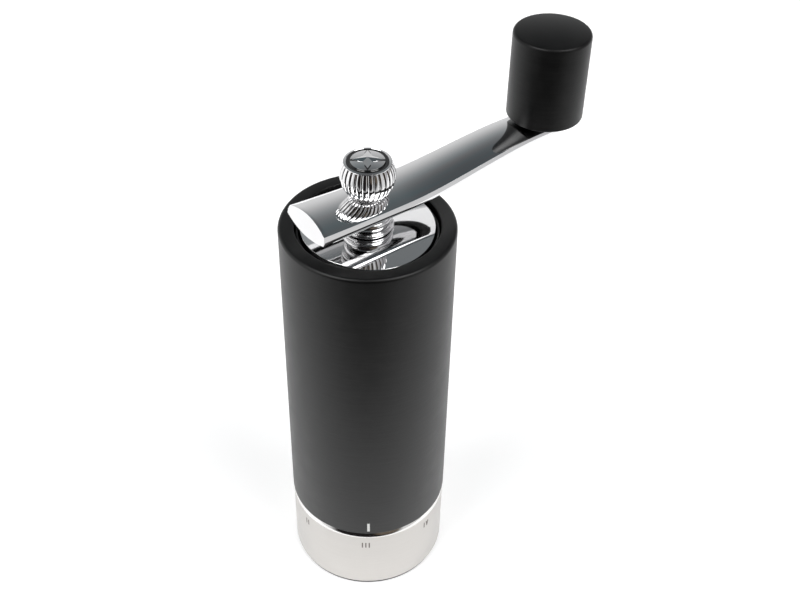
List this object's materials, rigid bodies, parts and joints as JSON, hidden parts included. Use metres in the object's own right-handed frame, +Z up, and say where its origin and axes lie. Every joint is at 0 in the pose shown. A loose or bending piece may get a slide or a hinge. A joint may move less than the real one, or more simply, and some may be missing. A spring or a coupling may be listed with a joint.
{
  "type": "hand crank coffee grinder",
  "caption": "Slim hand crank coffee grinder: black cylindrical body over a steel setting ring, polished crank arm with a ball nut and an upright cylindrical knob.",
  "frame": {"origin": "centre of the flat underside of the base cap, on the grinding axis", "axes": "+Z up along the grinding axis; -Y is the front, where the index mark is; the crank points between +X and +Y at rest"},
  "size_m": [0.0911, 0.0732, 0.1805],
  "materials": {
    "lacquered_wood": "matt black lacquer over turned beech",
    "black_plastic": "moulded, fine matt texture",
    "satin_steel": "satin brushed around",
    "chrome": "mirror polished",
    "burr_steel": "hardened, dull",
    "frame_alloy": "die cast, dull",
    "bearing_bronze": "turned",
    "dark_inlay": "dark polished",
    "seal_rubber": "soft black"
  },
  "bodies": {
    "housing": {"body_sleeve": "lacquered_wood", "hopper_liner": "black_plastic", "mechanism_housing": "frame_alloy", "housing_screw_1": "burr_steel", "housing_screw_2": "burr_steel", "housing_screw_3": "burr_steel", "bridge_screw_1": "burr_steel", "bridge_screw_2": "burr_steel", "bridge_screw_3": "burr_steel", "lower_bridge": "frame_alloy", "lower_bush": "bearing_bronze", "upper_bridge": "frame_alloy", "upper_bush": "bearing_bronze", "ring_clip": "burr_steel", "detent_ball": "burr_steel", "detent_spring": "burr_steel"},
    "drive": {"spindle": "satin_steel", "inner_burr": "burr_steel", "burr_nut": "burr_steel", "thrust_washer": "bearing_bronze", "spindle_clip": "burr_steel"},
    "setting_ring": {"grind_ring": "satin_steel"},
    "carrier": {"burr_carrier": "frame_alloy", "outer_burr": "burr_steel"},
    "cap": {"base_cap": "black_plastic", "cap_seal": "seal_rubber"},
    "crank_head": {"cover": "chrome", "collar": "chrome", "crank_arm": "chrome", "knob_pin": "satin_steel", "knob_washer": "black_plastic", "knob_clip": "burr_steel"},
    "handle": {"knob": "lacquered_wood", "knob_sleeve": "bearing_bronze"},
    "nut_core": {"nut_insert": "bearing_bronze"},
    "nut": {"ball_nut": "chrome", "nut_medallion": "dark_inlay"}
  },
  "joints": [
    {"name": "crank_spin", "type": "hinge", "parent": "housing", "child": "drive", "pos_m": [0, 0, 0.08], "axis": [0, 0, 1], "continuous": true},
    {"name": "crank_lift", "type": "slide", "parent": "drive", "child": "crank_head", "axis": [0, 0, 1], "range_m": [0, 0.03]},
    {"name": "nut_rise", "type": "slide", "parent": "crank_head", "child": "nut_core", "axis": [0, 0, 1], "range_m": [0, 0.0049]},
    {"name": "nut_turn", "type": "hinge", "parent": "nut_core", "child": "nut", "pos_m": [0, 0, 0.153], "axis": [0, 0, 1], "range_deg": [0, 2160]},
    {"name": "knob_spin", "type": "hinge", "parent": "crank_head", "child": "handle", "pos_m": [0.05356, 0.03558, 0.165], "axis": [0, 0, 1], "continuous": true},
    {"name": "ring_turn", "type": "hinge", "parent": "housing", "child": "setting_ring", "pos_m": [0, 0, 0.014], "axis": [0, 0, 1], "range_deg": [-154.29, 102.86]},
    {"name": "carrier_travel", "type": "slide", "parent": "housing", "child": "carrier", "axis": [0, 0, 1], "range_m": [-0.0005, 0.0007]},
    {"name": "cap_off", "type": "slide", "parent": "housing", "child": "cap", "axis": [0, 0, -1], "range_m": [0, 0.02]}
  ],
  "couplings": [
    {"joint": "nut_rise", "follows": "nut_turn", "m_per_rad": 0.00012732},
    {"joint": "carrier_travel", "follows": "ring_turn", "m_per_rad": -0.00023873}
  ]
}
